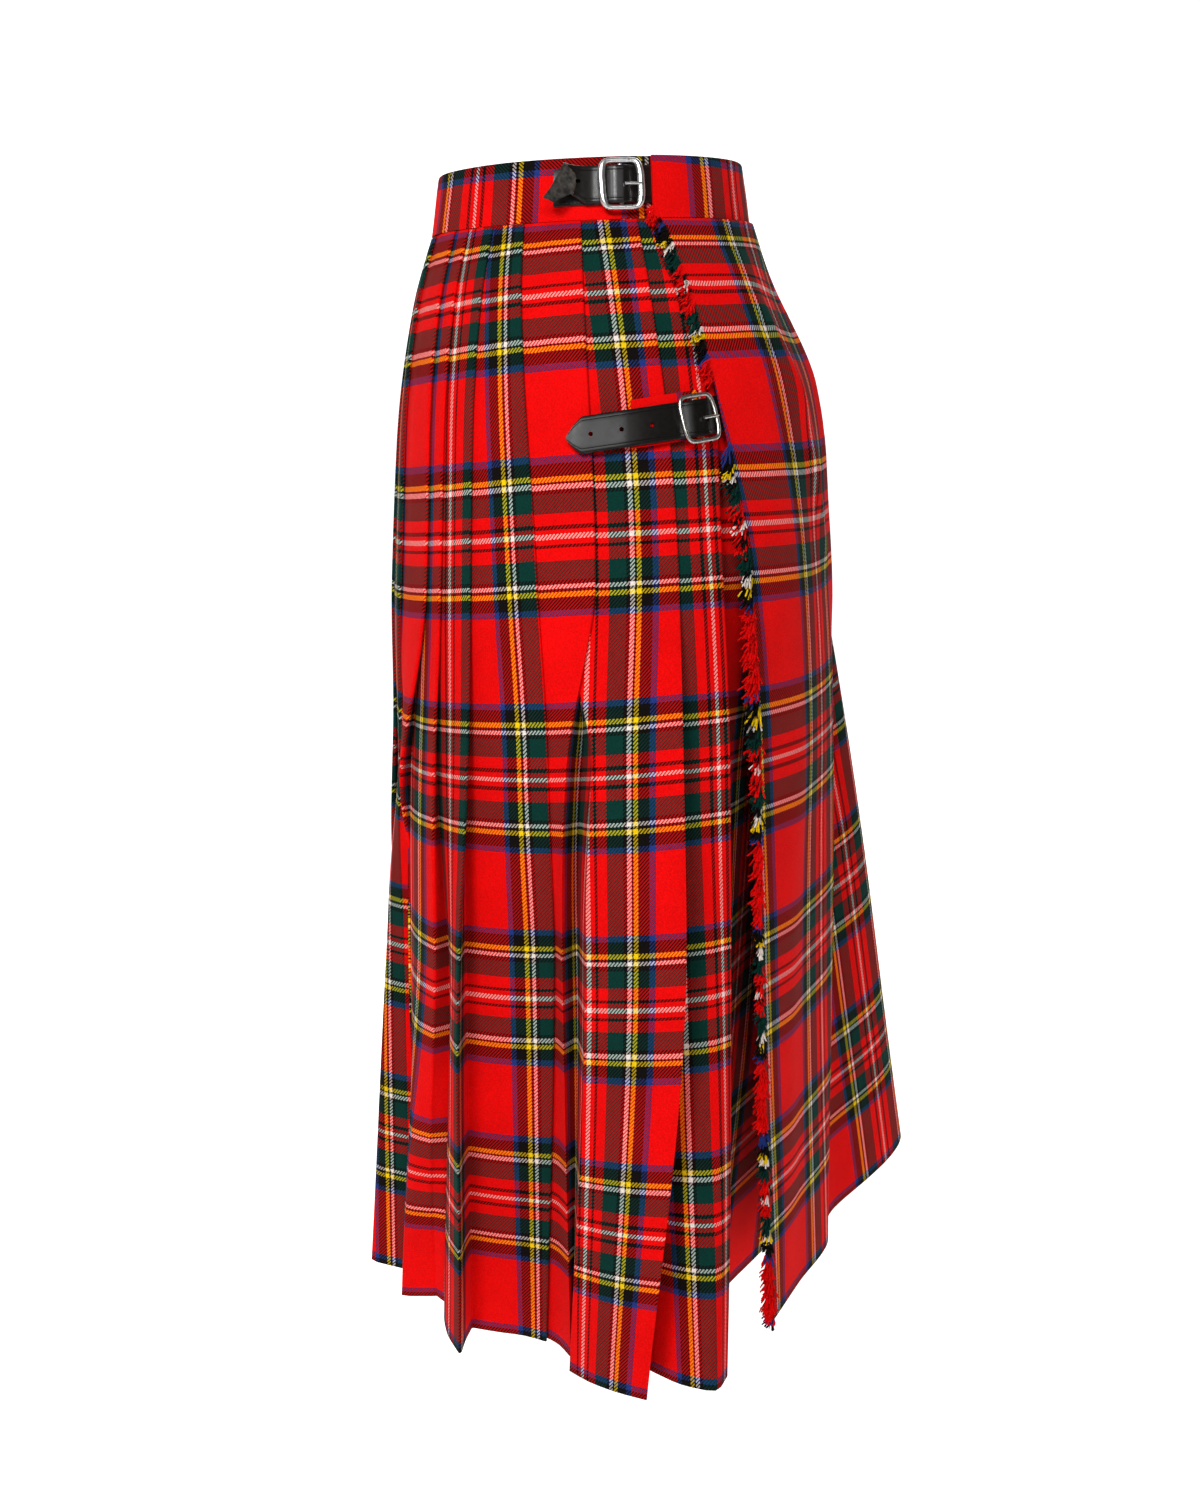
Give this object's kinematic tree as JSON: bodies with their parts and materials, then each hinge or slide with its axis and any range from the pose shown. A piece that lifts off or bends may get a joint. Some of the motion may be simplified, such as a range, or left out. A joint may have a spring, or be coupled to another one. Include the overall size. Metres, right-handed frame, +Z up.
{
  "type": "kilt skirt",
  "caption": "Wrapped tartan kilt skirt: knife-pleated back and side, plain fringed over-apron, plain under-apron, waistband and two leather straps with buckles.",
  "frame": {"origin": "centre of the waist, at the height of the seam between the waistband and the skirt", "axes": "+Z up towards the waistband; the wearer faces -Y; the wearer's right side, with the buckles, is -X"},
  "size_m": [0.4835, 0.4724, 0.8776],
  "materials": {
    "tartan_wool": "worsted wool in 2/2 twill, red-ground tartan with navy, black, green, yellow and white stripes",
    "fringe_wool": "loose weft threads of the same wool",
    "strap_leather": "black smooth leather, semi-gloss, suede back",
    "bright_steel": "bright plated wire",
    "aged_steel": "antique silver plated wire, dulled"
  },
  "bodies": {
    "root": {"pleated_section": "tartan_wool", "over_apron": "tartan_wool", "under_apron": "tartan_wool", "waistband": "tartan_wool", "hip_buckle_tab": "tartan_wool", "fringe_upper": "fringe_wool", "fringe_lower": "fringe_wool", "waist_strap": "strap_leather", "waist_buckle_tab": "strap_leather", "hip_strap": "strap_leather", "waist_buckle_frame": "bright_steel", "waist_buckle_bar": "bright_steel", "waist_prong": "bright_steel", "hip_buckle_frame": "aged_steel", "hip_buckle_bar": "aged_steel", "hip_prong": "aged_steel"}
  },
  "joints": []
}
